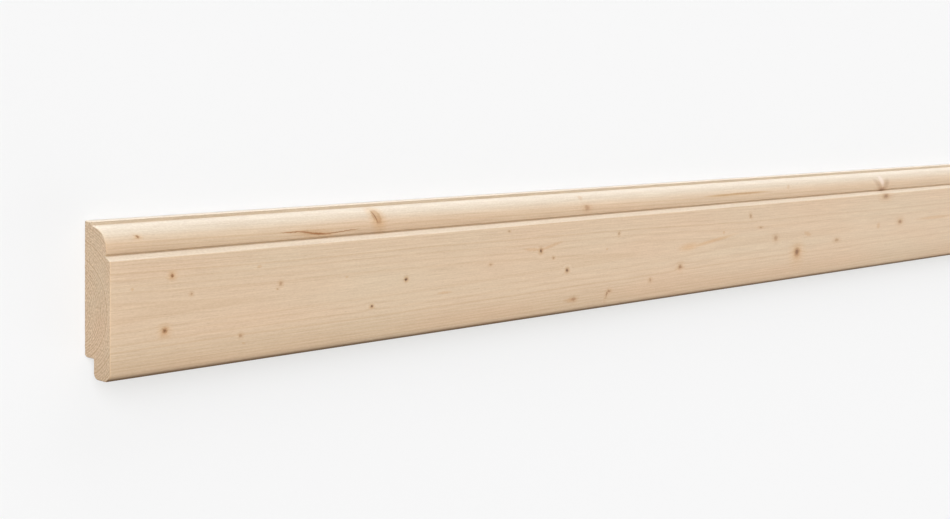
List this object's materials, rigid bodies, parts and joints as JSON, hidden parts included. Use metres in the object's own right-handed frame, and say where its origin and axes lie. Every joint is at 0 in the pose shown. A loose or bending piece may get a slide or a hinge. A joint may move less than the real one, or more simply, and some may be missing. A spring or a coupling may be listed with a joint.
{
  "type": "skirting board length",
  "caption": "Straight length of planed softwood skirting board with a bead, quirk and chamfer along the top, a rounded toe and a rear rebate at the floor edge.",
  "frame": {"origin": "centre of the wall face's box, at the level of the wall face: the board lies on that face", "axes": "+X along the length, +Y across the board from its floor edge to its top edge, +Z out of the wall face towards the show face"},
  "size_m": [2.4, 0.07, 0.019],
  "materials": {
    "planed_softwood": "planed, unfinished, matte"
  },
  "bodies": {
    "root": {"skirting_board": "planed_softwood"}
  },
  "joints": []
}
